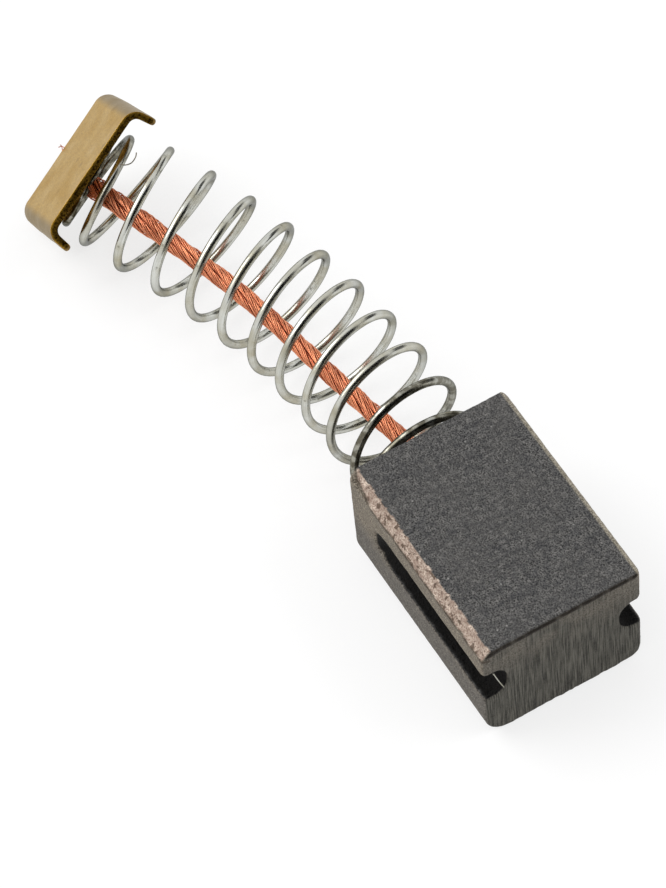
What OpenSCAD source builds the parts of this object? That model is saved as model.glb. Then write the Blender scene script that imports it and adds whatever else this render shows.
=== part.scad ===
// Carbon brush for a small motor: a grooved carbon block, a compression spring,
// a stranded copper shunt inside the spring, and a folded brass cap.
// Millimetres. The origin is the centre of the block's lower face, +X points to
// the contact face, +Z up. The brush lies unloaded, with its spring bent sideways.

/* [Carbon block] */
// Length of the block, from its spring end to its contact face
block_l = 9.85; // [9:0.05:12]
// Width of the block
block_w = 7; // [6.5:0.1:8]
// Height of the block
block_h = 5.7; // [5.5:0.1:7]
// Chamfer ground on the upper long edge at the -Y side
left_chamfer = 0.4; // [0.1:0.05:0.6]
// Chamfer on the upper long edge at the +Y side
right_chamfer = 0.15; // [0.05:0.05:0.6]
// Radius worn on the lower long edge at the -Y side
left_edge_r = 1.1; // [0.3:0.05:1.2]
// Radius worn on the lower long edge at the +Y side
right_edge_r = 0.8; // [0.3:0.05:1.2]

/* [Side grooves] */
// Height of each groove
groove_h = 1.65; // [1.5:0.05:2]
// Depth of each groove
groove_d = 1; // [0.5:0.05:1.4]
// Height of the lower flank of the groove at the -Y side
left_groove_z = 2.6; // [2:0.05:3]
// Height of the lower flank of the groove at the +Y side
right_groove_z = 2.3; // [2:0.05:3]
// Radius of the milling cutter, which leaves the run-out
cutter_r = 6; // [3:0.1:8]
// Radius on the cutter's nose
cutter_nose_r = 0.65; // [0.1:0.05:0.7]
// Distance from the spring end to where the run-out starts
runout_x = 1.75; // [1:0.05:3]

/* [Shunt socket] */
// Radius of the blind hole for the shunt
socket_r = 0.95; // [0.7:0.05:1.2]
// Depth of the blind hole, without its drill point
socket_depth = 4.2; // [4:0.1:5]
// Distance of the hole from the middle of the width
socket_y = 0.1; // [0:0.05:0.2]
// Height of the hole's axis above the base
socket_z = 2.9; // [2.8:0.05:3]
// Depth of the tamped powder's face below the spring end
plug_recess = 0.2; // [0.1:0.05:0.5]

/* [Spring] */
// Diameter of the wire
wire_d = 0.4; // [0.3:0.01:0.4]
// Radius of the coil at the middle of the wire
coil_r = 2.55; // [2.4:0.01:2.6]
// The same radius in the closed turns inside the cap
cap_coil_r = 2.3; // [2.2:0.01:2.35]
// Closed turns on the block
block_turns = 0.75; // [0.5:0.05:1]
// Active turns
active_turns = 10.65; // [9:0.05:11]
// Closed turns in the cap
cap_turns = 1; // [0.9:0.05:1.1]

/* [Shunt] */
// Radius of one strand
strand_r = 0.11; // [0.08:0.01:0.11]
// Number of strands laid round the core strand
outer_strands = 6; // [6:1:6]
// Length over which a strand winds once round the core
lay_length = 8; // [6:0.5:12]

/* [Cap] */
// Outside length of the cap's web, over its corners
cap_l = 6.1; // [6.1:0.05:6.5]
// Width of the brass strip
cap_w = 5; // [4.8:0.1:5.5]
// Thickness of the strip
cap_t = 0.3; // [0.2:0.05:0.3]
// Length of each leg, from the outside of the web
leg_l = 1.25; // [1:0.05:1.25]
// Outside radius of the bends
bend_r = 0.65; // [0.5:0.05:0.7]
// Angle by which the legs stand apart
leg_splay = 8; // [0:1:10]

/* [Hidden] */
$fn = 64;

// Clearance where two pieces bear on each other
seat_gap = 0.01;
// Spring end of the block
spring_end = [-block_l / 2, 0, 0];
// How far a cutting shape runs past the face that it cuts
past = 1;

// Seat of the coil on the block, and how far its closed turn sags below the active turns
coil_seat = [0, -0.1, 3.5];
seat_sag = 0.35;
// Points that steer the coil's bent centre line, measured from the spring end
coil_bow_a = [-8.4, 0.2, 2.5];
coil_bow_b = [-13.2, -1.7, 3.8];
// Turning of the coils away from the block's axis: sideways and upwards, linear and square terms
coil_yaw = [40, -9];
coil_lift = [6, 17];
// Distance between closed turns, and the pitch where they open, as a part of the mean pitch
closed_pitch = 0.43;
opening_pitch = 0.25;
// How much the pitch grows from the block to the cap, as a part of the mean pitch
pitch_growth = 0.31;
// Turns over which the pitch opens at the block, and closes at the cap
opening_turns = 0.6;
closing_turns = 1.6;
// Angle at which the wire starts
wire_start = 153;
// Lean of the closed turns in the cap: across the strip and along it
cap_coil_lean = [11, -3];
// Shift of their last centre in the cap's own directions: along the web, off it, and across the strip
cap_coil_shift = [-0.1, -0.32, -1.05];
// Rings for each turn, and sides of the wire
turn_rings = 20;
wire_sides = 8;

// Route of the shunt, from inside the block to the weld in the cap, from the spring end
shunt_route = [[3.6, 0.1, 2.9], [1.8, 0.1, 2.9], [0, 0.1, 2.9], [-2, -0.2, 2.95], [-4, -0.6, 2.95],
               [-6, -1, 3], [-8, -1.35, 3], [-10, -1.75, 3.05], [-12, -2.25, 3.1], [-14, -2.9, 3.2],
               [-16, -3.55, 3.3], [-17.8, -4.15, 3.35], [-19.35, -4.65, 3.4]];
// Rings for each stretch of the route, and sides of a strand
stretch_rings = 4;
strand_sides = 6;
// Radius of the circle of strands round the core, and of the hole in the powder round them
lay_r = 2.05 * strand_r;
shunt_r = lay_r + strand_r;
plug_bore_r = shunt_r + 0.025;
plug_bore_depth = 3.62;

// Attitude of the cap, and the middle of its web's outer face as seen from above
cap_turn = [44.3, -26.1, 108.4];
cap_xy = [-20.2, -4.65];
// Where the shunt is welded, along the web, and the size of the bead
weld_x = -0.4;
bead_r = 0.55;

// Chips along the lower edge of the contact face
chip_count = 9;
chip_r = 0.9;
chip_bite = 0.1;

// ---- Small helpers ----

function turn_x(v, a) = [v.x, v.y * cos(a) - v.z * sin(a), v.y * sin(a) + v.z * cos(a)];
function turn_y(v, a) = [v.x * cos(a) + v.z * sin(a), v.y, v.z * cos(a) - v.x * sin(a)];
function turn_z(v, a) = [v.x * cos(a) - v.y * sin(a), v.x * sin(a) + v.y * cos(a), v.z];
function cap_turned(v) = turn_z(turn_y(turn_x(v, cap_turn.x), cap_turn.y), cap_turn.z);
function unit(v) = v / norm(v);
function clamp(value) = min(max(value, 0), 1);

// The part of the vector v that is square to the unit vector n
function square_to(v, n) = unit(v - n * (v * n));

// A point on a cubic curve through a and d, steered by b and c
function cubic(a, b, c, d, t) =
    a * pow(1 - t, 3) + 3 * b * t * pow(1 - t, 2) + 3 * c * t * t * (1 - t) + d * pow(t, 3);

// A point between b and c on a smooth curve through all four points
function between(a, b, c, d, t) =
    b + t * (c - a) / 2 + t * t * (a - 2.5 * b + 2 * c - d / 2) + t * t * t * (1.5 * (b - c) + (d - a) / 2);

// Direction of a line of points at its point i
function heading(line, i) = unit(line[min(i + 1, len(line) - 1)] - line[max(i - 1, 0)]);

// A round bar along a line of points; sides[i] points from its middle to its first corner
module bar(line, sides, r, corners) {
    last = len(line) - 1;
    rings = [for (i = [0:last])
        let (ahead = heading(line, i), out = square_to(sides[i], ahead), across = cross(ahead, out))
        for (k = [0:corners - 1])
            line[i] + r * (cos(360 * k / corners) * out + sin(360 * k / corners) * across)];
    walls = [for (i = [0:last - 1], k = [0:corners - 1])
        let (a = i * corners + k, b = i * corners + (k + 1) % corners)
        each [[a, b + corners, b], [a, a + corners, b + corners]]];
    start = [for (k = [0:corners - 1]) k];
    finish = [for (k = [corners - 1:-1:0]) last * corners + k];
    polyhedron(points = rings, faces = concat(walls, [start, finish]), convexity = 20);
}

// ---- Carbon block ----

// Cuts the corner of a section that lies in the first quadrant, and leaves it round
module corner_round(r) {
    difference() {
        translate([-past, -past]) square(r + past);
        translate([r, r]) circle(r = r);
        translate([r, -past]) square([past, past]);
        translate([-past, r]) square([past, past]);
    }
}

// Section of the block across its length
module block_section() {
    difference() {
        translate([-block_w / 2, 0]) square([block_w, block_h]);
        translate([-block_w / 2, block_h]) rotate(45) square(left_chamfer * sqrt(2), center = true);
        translate([block_w / 2, block_h]) rotate(45) square(right_chamfer * sqrt(2), center = true);
        translate([-block_w / 2, 0]) corner_round(left_edge_r);
        mirror([1, 0]) translate([-block_w / 2, 0]) corner_round(right_edge_r);
    }
}

// Half section of the milling cutter, from its axis to its rounded nose
module cutter_section() {
    square([cutter_r - cutter_nose_r, groove_h]);
    translate([0, cutter_nose_r]) square([cutter_r, groove_h - 2 * cutter_nose_r]);
    for (z = [cutter_nose_r, groove_h - cutter_nose_r])
        translate([cutter_r - cutter_nose_r, z]) circle(r = cutter_nose_r);
}

// The path of the cutter along the -Y side: it leaves the block before the spring end
module groove_cut(z) {
    runout = sqrt(2 * cutter_r * groove_d - groove_d * groove_d);
    start = spring_end.x + runout_x + runout;
    translate([start, groove_d - block_w / 2 - cutter_r, z]) {
        rotate_extrude() cutter_section();
        rotate([90, 0, 90]) linear_extrude(block_l / 2 - start + past) cutter_section();
    }
}

// Blind hole for the shunt, with its drill point
module socket_cut() {
    point_h = socket_r / tan(59);
    translate([spring_end.x - past, socket_y, socket_z]) rotate([0, 90, 0]) {
        cylinder(r = socket_r, h = socket_depth + past);
        translate([0, 0, socket_depth + past]) cylinder(r1 = socket_r, r2 = 0, h = point_h);
    }
}

// Shallow chips along the lower edge of the contact face
module edge_chips() {
    span = block_w - left_edge_r - right_edge_r;
    for (i = [0:chip_count - 1]) {
        y = left_edge_r - block_w / 2 + span * (i + 0.5 + 0.2 * sin(140 * i)) / chip_count;
        bite = chip_bite * (1 + 0.5 * sin(200 * i + 40));
        reach = (chip_r - bite) / sqrt(2);
        translate([block_l / 2 + reach, y, -reach]) sphere(r = chip_r);
    }
}

module carbon_block() {
    color("dimgray")
        difference() {
            translate(spring_end) rotate([90, 0, 90]) linear_extrude(block_l) block_section();
            groove_cut(left_groove_z);
            mirror([0, 1, 0]) groove_cut(right_groove_z);
            socket_cut();
            edge_chips();
        }
}

// Copper powder tamped round the shunt: it fills the blind hole and grips the strands
module tamping_plug() {
    point_h = socket_r / tan(59);
    color("sienna")
        translate([spring_end.x + plug_recess, socket_y, socket_z]) rotate([0, 90, 0])
            difference() {
                union() {
                    cylinder(r = socket_r, h = socket_depth - plug_recess);
                    translate([0, 0, socket_depth - plug_recess])
                        cylinder(r1 = socket_r, r2 = 0, h = point_h);
                }
                translate([0, 0, -past])
                    cylinder(r = plug_bore_r, h = plug_bore_depth - plug_recess + past);
            }
}

// ---- Cap ----

// Lowest corner of the cap before it is set down: the outer edge of one leg
leg_corner = [-cap_l / 2 - leg_l * sin(leg_splay), -leg_l * cos(leg_splay), -cap_w / 2];
cap_place = [spring_end.x + cap_xy.x, cap_xy.y, -cap_turned(leg_corner).z];
web_normal = cap_turned([0, 1, 0]);

// One half of the folded strip in section: half the web, the bend and a leg
module strip_half() {
    fold = 90 - leg_splay;
    bend_x = cap_l / 2 - bend_r * tan(fold / 2);
    straight_leg = leg_l - bend_r * tan(fold / 2);
    reach = 2 * bend_r;
    translate([0, -cap_t]) square([bend_x, cap_t]);
    translate([bend_x, -bend_r]) {
        intersection() {
            difference() {
                circle(r = bend_r);
                circle(r = bend_r - cap_t);
            }
            polygon([[0, 0], [0, reach], [reach, reach], reach * [cos(leg_splay), sin(leg_splay)]]);
        }
        rotate(leg_splay) translate([bend_r - cap_t, -straight_leg]) square([cap_t, straight_leg]);
    }
}

// Places what is drawn in the cap's own frame: X along the web, Y out of it, Z across the strip
module in_cap_frame() {
    translate(cap_place) rotate(cap_turn) children();
}

module terminal_cap() {
    color("darkkhaki")
        in_cap_frame()
            translate([0, 0, -cap_w / 2]) linear_extrude(cap_w) {
                strip_half();
                mirror([1, 0]) strip_half();
            }
}

// Bead of fused copper that holds the strands on the inside of the web
module weld_nugget() {
    color("saddlebrown")
        in_cap_frame()
            translate([weld_x, -cap_t, 0]) rotate([90, 0, 0])
                rotate_extrude() intersection() {
                    circle(r = bead_r);
                    square(bead_r);
                }
}

// ---- Spring ----

coil_turns = block_turns + active_turns + cap_turns;
// Places along the wire, counted in turns, one for each ring
wire_places = [for (i = [0:round(coil_turns * turn_rings)]) i / turn_rings];

// Active turns passed at a place, and how fully the coil has opened or not yet closed there
function active_at(place) = min(max(place - block_turns, 0), active_turns);
function opened(place) = clamp(active_at(place) / opening_turns);
function unclosed(place) = clamp((active_turns - active_at(place)) / closing_turns);

// Pitch at a place, as a part of the mean pitch
function pitch_at(place) =
    let (growth = 1 + pitch_growth * (active_at(place) / active_turns - 0.5))
    active_at(place) > 0 && active_at(place) < active_turns
        ? opening_pitch + (growth - opening_pitch) * opened(place) * unclosed(place)
        : 0;

// Share of the active length passed at each place
pitch_sums = [for (i = 0, sum = 0; i < len(wire_places); sum = sum + pitch_at(wire_places[i]), i = i + 1) sum];
wire_shares = pitch_sums / pitch_sums[len(pitch_sums) - 1];

// First and last points of the active turns' centre line
wire_seat = wire_d / 2 + seat_gap;
active_start = coil_seat - [wire_seat + block_turns * closed_pitch, 0, 0];
cap_seat = cap_place - spring_end - web_normal * (cap_t + wire_seat) + cap_turned(cap_coil_shift);
cap_axis = cap_turned([cos(cap_coil_lean.x) * sin(cap_coil_lean.y),
                       cos(cap_coil_lean.x) * cos(cap_coil_lean.y), -sin(cap_coil_lean.x)]);
active_end = cap_seat - cap_axis * cap_turns * closed_pitch;

// Centre of the coil at a place
function coil_centre(place, share) =
    cubic(active_start, coil_bow_a, coil_bow_b, active_end, share)
    + [max(block_turns - place, 0) * closed_pitch, 0, 0]
    + cap_axis * max(place - block_turns - active_turns, 0) * closed_pitch
    - [0, 0, seat_sag * (1 - clamp(place - block_turns + 0.25))];

// Axis about which the coil turns at a place: it swings round to that of the closed turns in the cap
function coil_axis(place, share) =
    let (yaw = coil_yaw[0] * share + coil_yaw[1] * share * share,
         lift = coil_lift[0] * share + coil_lift[1] * share * share,
         free = [-cos(lift) * cos(yaw), -cos(lift) * sin(yaw), sin(lift)])
    unit(unclosed(place) * free + (1 - unclosed(place)) * cap_axis);

// Direction from the centre of the coil to the wire at a place
function wire_side(place, share) =
    let (axis = coil_axis(place, share), up = square_to([0, 0, 1], axis), angle = 360 * place + wire_start)
    cos(angle) * up + sin(angle) * cross(axis, up);

module spring() {
    sides = [for (i = [0:len(wire_places) - 1]) wire_side(wire_places[i], wire_shares[i])];
    wire = [for (i = [0:len(wire_places) - 1])
        let (r = cap_coil_r + (coil_r - cap_coil_r) * unclosed(wire_places[i]))
        coil_centre(wire_places[i], wire_shares[i]) + r * sides[i]];
    color("silver") translate(spring_end) bar(wire, sides, wire_d / 2, wire_sides);
}

// ---- Shunt ----

// The smooth line through the route's points
shunt_ends = len(shunt_route) - 1;
shunt_line = [for (i = [0:shunt_ends * stretch_rings])
    let (k = min(floor(i / stretch_rings), shunt_ends - 1), t = i / stretch_rings - k)
    between(shunt_route[max(k - 1, 0)], shunt_route[k], shunt_route[k + 1],
            shunt_route[min(k + 2, shunt_ends)], t)];
// Length passed at each of its points
shunt_steps = [for (i = 0, sum = 0; i < len(shunt_line);
    sum = sum + (i < len(shunt_line) - 1 ? norm(shunt_line[i + 1] - shunt_line[i]) : 0), i = i + 1) sum];

// Direction from the middle of the shunt to a strand that starts at the given angle
function strand_side(i, start) =
    let (ahead = heading(shunt_line, i), up = square_to([0, 0, 1], ahead),
         angle = start + 360 * shunt_steps[i] / lay_length)
    cos(angle) * up + sin(angle) * cross(ahead, up);

// One strand, wound at the radius r round the middle of the shunt
module strand(start, r) {
    sides = [for (i = [0:len(shunt_line) - 1]) strand_side(i, start)];
    line = [for (i = [0:len(shunt_line) - 1]) shunt_line[i] + r * sides[i]];
    color("chocolate") translate(spring_end) bar(line, sides, strand_r, strand_sides);
}

module shunt_core() {
    strand(0, 0);
}

module shunt_strand(number) {
    strand(360 * number / outer_strands, lay_r);
}

carbon_block();
tamping_plug();
spring();
shunt_core();
shunt_strand(1);  // shunt_strand_1
shunt_strand(2);  // shunt_strand_2
shunt_strand(3);  // shunt_strand_3
shunt_strand(4);  // shunt_strand_4
shunt_strand(5);  // shunt_strand_5
shunt_strand(6);  // shunt_strand_6
weld_nugget();
terminal_cap();
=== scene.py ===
# %% [markdown]
# # A carbon brush
# This lesson dresses one small motor brush: a grooved carbon block, a bent spring, a copper shunt laid
# from fine wires, and a folded brass cap. The solids are already at their real size, so the frame is
# loaded first and nothing in it is moved. Everything below only adds surfaces, wear and light.

# %% Load the frame
import math
import random

import bmesh
import bpy
from mathutils import Euler, Matrix, Quaternion, Vector, noise
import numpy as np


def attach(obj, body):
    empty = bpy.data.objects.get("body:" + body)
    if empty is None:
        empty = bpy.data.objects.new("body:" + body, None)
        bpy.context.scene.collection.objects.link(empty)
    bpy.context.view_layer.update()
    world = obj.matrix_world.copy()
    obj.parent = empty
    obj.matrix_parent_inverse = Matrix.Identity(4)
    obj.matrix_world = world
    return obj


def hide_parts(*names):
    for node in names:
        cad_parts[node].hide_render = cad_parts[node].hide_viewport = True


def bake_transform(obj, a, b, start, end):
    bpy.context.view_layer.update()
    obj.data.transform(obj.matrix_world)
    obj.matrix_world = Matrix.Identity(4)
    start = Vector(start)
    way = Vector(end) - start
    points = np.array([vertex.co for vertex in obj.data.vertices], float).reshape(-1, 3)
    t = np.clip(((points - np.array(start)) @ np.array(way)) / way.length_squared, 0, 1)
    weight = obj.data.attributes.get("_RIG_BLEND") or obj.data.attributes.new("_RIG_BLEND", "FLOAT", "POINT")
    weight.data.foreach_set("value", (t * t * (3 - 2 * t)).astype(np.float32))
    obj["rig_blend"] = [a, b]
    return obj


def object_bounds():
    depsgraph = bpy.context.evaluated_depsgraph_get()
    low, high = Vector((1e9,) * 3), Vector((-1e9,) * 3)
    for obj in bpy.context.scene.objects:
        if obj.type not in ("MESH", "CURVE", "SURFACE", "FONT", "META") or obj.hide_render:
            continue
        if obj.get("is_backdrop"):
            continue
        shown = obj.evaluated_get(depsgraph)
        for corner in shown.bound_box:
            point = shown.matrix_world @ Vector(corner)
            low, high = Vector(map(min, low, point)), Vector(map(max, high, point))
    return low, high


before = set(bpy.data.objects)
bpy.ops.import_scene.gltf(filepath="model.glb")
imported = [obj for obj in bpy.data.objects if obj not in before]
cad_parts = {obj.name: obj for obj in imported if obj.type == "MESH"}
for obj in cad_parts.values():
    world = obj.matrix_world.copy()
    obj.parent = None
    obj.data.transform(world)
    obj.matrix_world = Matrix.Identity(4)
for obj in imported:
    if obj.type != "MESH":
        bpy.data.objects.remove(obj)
cad_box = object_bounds()
MM = 0.001
print("solids in the frame:", sorted(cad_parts))

# %% [markdown]
# ## Camera
# A long lens from high on the contact face's side keeps the block's edges nearly parallel, and shows the
# top, the contact face and one grooved side at once. The camera is aimed at a point inside the spring and
# rolled a little about its own axis. An aim point and a roll are easier to change than three angles.

# %% Place the camera
scene = bpy.context.scene
scene.view_settings.view_transform = "Standard"
camera_data = bpy.data.cameras.new("camera")
camera_data.lens = 183.4
camera_data.clip_start = 10 * MM
camera = bpy.data.objects.new("camera", camera_data)
scene.collection.objects.link(camera)
scene.camera = camera
camera.location = Vector((81.75, -43.64, 148.62)) * MM
camera_aim = Vector((-8.27, -2.42, 2.5)) * MM
camera_roll = -6.8
look = camera_aim - camera.location
camera.rotation_mode = "QUATERNION"
camera.rotation_quaternion = look.to_track_quat("-Z", "Y") @ Quaternion((0, 0, 1), math.radians(camera_roll))
print("camera is", round(look.length / MM), "mm from its aim")

# %% [markdown]
# ## Floor, sky and lamps
# A small metal part needs something to mirror. The sky is white where it is seen or mirrored, and a
# softer grey where it only lights things, so that the lamps can still model the shapes. The floor adds a
# share of its own white where it is seen or mirrored, so that it keeps the brush's shadow but keeps it
# faint. One large lamp comes from the cap's side, and a weaker one opens the shadows.

# %% Sky
AMBIENT = 0.7
WHITE_SHARE = 0.7


def seen_or_mirrored(nodes, links):
    """1 for camera, mirror and glass rays, 0 for rays that only carry light."""
    path = nodes.new("ShaderNodeLightPath")
    either = nodes.new("ShaderNodeMath")
    either.operation = "MAXIMUM"
    links.new(path.outputs["Is Camera Ray"], either.inputs[0])
    links.new(path.outputs["Is Glossy Ray"], either.inputs[1])
    both = nodes.new("ShaderNodeMath")
    both.operation = "MAXIMUM"
    links.new(either.outputs[0], both.inputs[0])
    links.new(path.outputs["Is Transmission Ray"], both.inputs[1])
    return both.outputs[0]


world = bpy.data.worlds.new("studio")
scene.world = world
world.use_nodes = True
sky_nodes, sky_links = world.node_tree.nodes, world.node_tree.links
background = sky_nodes["Background"]
level = sky_nodes.new("ShaderNodeMapRange")
level.inputs["To Min"].default_value = AMBIENT
level.inputs["To Max"].default_value = 1.0
sky_links.new(seen_or_mirrored(sky_nodes, sky_links), level.inputs["Value"])
sky_links.new(level.outputs["Result"], background.inputs["Strength"])
background.inputs["Color"].default_value = (1, 1, 1, 1)
print("sky gives", AMBIENT, "of plain white")

# %% Floor
floor_mesh = bpy.data.meshes.new("floor")
floor_bm = bmesh.new()
bmesh.ops.create_grid(floor_bm, x_segments=1, y_segments=1, size=0.6)
bmesh.ops.translate(floor_bm, vec=(0, 0, -0.02 * MM), verts=floor_bm.verts)
floor_bm.to_mesh(floor_mesh)
floor_bm.free()
floor = bpy.data.objects.new("floor", floor_mesh)
scene.collection.objects.link(floor)
floor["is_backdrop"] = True
floor_paint = bpy.data.materials.new("floor_white")
floor_paint.use_nodes = True
paper_nodes, paper_links = floor_paint.node_tree.nodes, floor_paint.node_tree.links
paper = paper_nodes["Principled BSDF"]
paper.inputs["Base Color"].default_value = (0.97, 0.97, 0.97, 1)
paper.inputs["Roughness"].default_value = 0.9
paper.inputs["Specular IOR Level"].default_value = 0.1
white = paper_nodes.new("ShaderNodeEmission")
share = paper_nodes.new("ShaderNodeMath")
share.operation = "MULTIPLY"
share.inputs[1].default_value = WHITE_SHARE
paper_links.new(seen_or_mirrored(paper_nodes, paper_links), share.inputs[0])
seen = paper_nodes.new("ShaderNodeMixShader")
paper_links.new(share.outputs[0], seen.inputs[0])
paper_links.new(paper.outputs[0], seen.inputs[1])
paper_links.new(white.outputs[0], seen.inputs[2])
paper_links.new(seen.outputs[0], paper_nodes["Material Output"].inputs["Surface"])
floor_mesh.materials.append(floor_paint)
print("floor is", floor.dimensions.x, "m wide")


# %% A square lamp
def lamp(name, place, watts, size):
    """A square lamp aimed at the middle of the brush; place and size in millimetres."""
    data = bpy.data.lights.new(name, "AREA")
    data.energy = watts
    data.size = size * MM
    made = bpy.data.objects.new(name, data)
    made.location = Vector(place) * MM
    made.rotation_euler = (camera_aim - made.location).to_track_quat("-Z", "Y").to_euler()
    scene.collection.objects.link(made)
    return made


# %% [markdown]
# ### Dark cards
# Polished wire has dark cores: without them it would melt into the white. A darker room would draw them
# too, but it would dim every other finish as well. So flat cards stand round the brush and show only in
# reflections. A card is an emission plane of its own plain grey, so no lamp changes it.


# %% A card that only mirrors show
def dark_card(name, place, width, height, grey):
    """A card that shows only in reflections, aimed at the brush; sizes in millimetres."""
    mesh = bpy.data.meshes.new(name)
    bm = bmesh.new()
    bmesh.ops.create_grid(bm, x_segments=1, y_segments=1, size=0.5 * MM)
    bmesh.ops.scale(bm, vec=(width, height, 1), verts=bm.verts)
    aim = (camera_aim - Vector(place) * MM).to_track_quat("-Z", "Y").to_matrix().to_4x4()
    bmesh.ops.transform(bm, matrix=Matrix.Translation(Vector(place) * MM) @ aim, verts=bm.verts)
    bm.to_mesh(mesh)
    bm.free()
    card = bpy.data.objects.new(name, mesh)
    scene.collection.objects.link(card)
    card.visible_camera = False
    card.visible_diffuse = False
    card.visible_shadow = False
    card.visible_transmission = False
    paint = bpy.data.materials.new(name)
    paint.use_nodes = True
    nodes, links = paint.node_tree.nodes, paint.node_tree.links
    nodes.clear()
    glow = nodes.new("ShaderNodeEmission")
    glow.inputs["Color"].default_value = (grey, grey, grey, 1)
    out = nodes.new("ShaderNodeOutputMaterial")
    links.new(glow.outputs[0], out.inputs["Surface"])
    mesh.materials.append(paint)
    card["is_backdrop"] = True
    return card


# %% Place the lamps and the cards
key_lamp = lamp("key_lamp", (-190, -170, 260), 0.75, 260)
fill_lamp = lamp("fill_lamp", (120, 210, 260), 0.25, 150)
fill_lamp.visible_glossy = False
camera_card = dark_card("camera_card", (132, 18, 113), 360, 360, 0.01)
side_card = dark_card("side_card", (-60, 260, 90), 300, 130, 0.06)
print("lamps:", key_lamp.name, fill_lamp.name, "cards:", camera_card.name, side_card.name)

# %% [markdown]
# ## Shared effects
# The finishes share the same few effects: soft mottling, fine lines and small specks. Each is a node
# group with named inputs, built once. The groups give out masks only, and each material mixes its own
# colours with them. All patterns are measured in millimetres on the piece itself, so they stay put in
# every view.


# %% A short way to build nodes
class Builder:
    """Adds and joins nodes in one tree."""

    def __init__(self, tree):
        self.tree = tree

    def add(self, kind, inputs=None, **settings):
        node = self.tree.nodes.new(kind)
        for key, value in settings.items():
            setattr(node, key, value)
        for key, value in (inputs or {}).items():
            self.feed(value, node.inputs[key])
        return node

    def feed(self, value, socket):
        if isinstance(value, bpy.types.NodeSocket):
            self.tree.links.new(value, socket)
        else:
            socket.default_value = value

    def math(self, operation, a, b=0.0):
        return self.add("ShaderNodeMath", {0: a, 1: b}, operation=operation).outputs[0]

    def mix(self, share, a, b):
        node = self.add("ShaderNodeMix", data_type="RGBA")
        for key, value in ((0, share), (6, a), (7, b)):
            self.feed(value, node.inputs[key])
        return node.outputs[2]

    def over(self, under, mask, strength, laid):
        """Lays one colour over another where the mask is, at a part of full strength."""
        return self.mix(self.math("MULTIPLY", mask, strength), under, laid)

    def spread(self, value, low, high, to_low=0.0, to_high=1.0):
        inputs = {"Value": value, "From Min": low, "From Max": high, "To Min": to_low, "To Max": to_high}
        return self.add("ShaderNodeMapRange", inputs).outputs["Result"]

    def group(self, tree, inputs):
        node = self.add("ShaderNodeGroup")
        node.node_tree = tree
        for key, value in inputs.items():
            self.feed(value, node.inputs[key])
        return node.outputs["Mask"]


# %% Colours and empty effects
def colour(red, green, blue):
    return (red, green, blue, 1.0)


def effect(name, inputs):
    """An empty node group with the named inputs and one output, Mask."""
    tree = bpy.data.node_groups.new(name, "ShaderNodeTree")
    tree.interface.new_socket(name="Place", in_out="INPUT", socket_type="NodeSocketVector")
    for key, value in inputs.items():
        kind = "NodeSocketVector" if isinstance(value, tuple) else "NodeSocketFloat"
        tree.interface.new_socket(name=key, in_out="INPUT", socket_type=kind).default_value = value
    tree.interface.new_socket(name="Mask", in_out="OUTPUT", socket_type="NodeSocketFloat")
    build = Builder(tree)
    return tree, build, build.add("NodeGroupInput").outputs, build.add("NodeGroupOutput").inputs["Mask"]


# %% Mottling, fine lines and specks
mottle, build, given, mask = effect("mottle", {"Per mm": 1.0, "Detail": 3.0, "Low": 0.35, "High": 0.65})
cloud = build.add("ShaderNodeTexNoise", {"Vector": given["Place"], "Scale": given["Per mm"],
                                         "Detail": given["Detail"]})
build.feed(build.spread(cloud.outputs[0], given["Low"], given["High"]), mask)

fine_lines, build, given, mask = effect("fine_lines", {"Squeeze": (1.0, 1.0, 1.0), "Low": 0.35, "High": 0.65})
squeezed = build.add("ShaderNodeVectorMath", {0: given["Place"], 1: given["Squeeze"]}, operation="MULTIPLY")
lines = build.add("ShaderNodeTexNoise", {"Vector": squeezed.outputs[0], "Scale": 1.0, "Detail": 4.0})
build.feed(build.spread(lines.outputs[0], given["Low"], given["High"]), mask)

specks, build, given, mask = effect("specks", {"Per mm": 4.0, "Size": 0.2, "Share": 0.3})
cells = build.add("ShaderNodeTexVoronoi", {"Vector": given["Place"], "Scale": given["Per mm"]})
dot = build.spread(cells.outputs["Distance"], given["Size"], 0.0)
chosen = build.math("LESS_THAN", build.add("ShaderNodeSeparateColor", {0: cells.outputs["Color"]}).outputs[0],
                    given["Share"])
build.feed(build.math("MULTIPLY", dot, chosen), mask)
print("effects:", mottle.name, fine_lines.name, specks.name)


# %% A material with one Principled shader
def material(name, metallic=0.0, roughness=0.5):
    """A new material, its builder, its shader's inputs and the place on the piece in millimetres."""
    made = bpy.data.materials.new(name)
    made.use_nodes = True
    build = Builder(made.node_tree)
    shader = made.node_tree.nodes["Principled BSDF"]
    shader.inputs["Metallic"].default_value = metallic
    shader.inputs["Roughness"].default_value = roughness
    spot = build.add("ShaderNodeTexCoord").outputs["Object"]
    place = build.add("ShaderNodeMapping", {"Vector": spot, "Scale": (1 / MM, 1 / MM, 1 / MM)}).outputs[0]
    return made, build, shader.inputs, place


def attribute(build, name):
    return build.add("ShaderNodeAttribute", attribute_name=name)


def bump(build, height, strength, distance):
    inputs = {"Height": height, "Strength": strength, "Distance": distance * MM}
    return build.add("ShaderNodeBump", inputs).outputs[0]


# %% [markdown]
# ## Finishing a piece
# Pieces are modelled in millimetres, which keeps every number readable, and brought to metres at the end
# with the place in the mesh and the object at the origin. A helper applies a modifier stack by taking the
# evaluated mesh, so that nothing live is left on a piece.


# %% A piece from a bmesh
def piece_from(bm, name, smooth=True):
    """An object from a bmesh, still in millimetres."""
    mesh = bpy.data.meshes.new(name)
    bm.to_mesh(mesh)
    bm.free()
    for face in mesh.polygons:
        face.use_smooth = smooth
    made = bpy.data.objects.new(name, mesh)
    scene.collection.objects.link(made)
    return made


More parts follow.
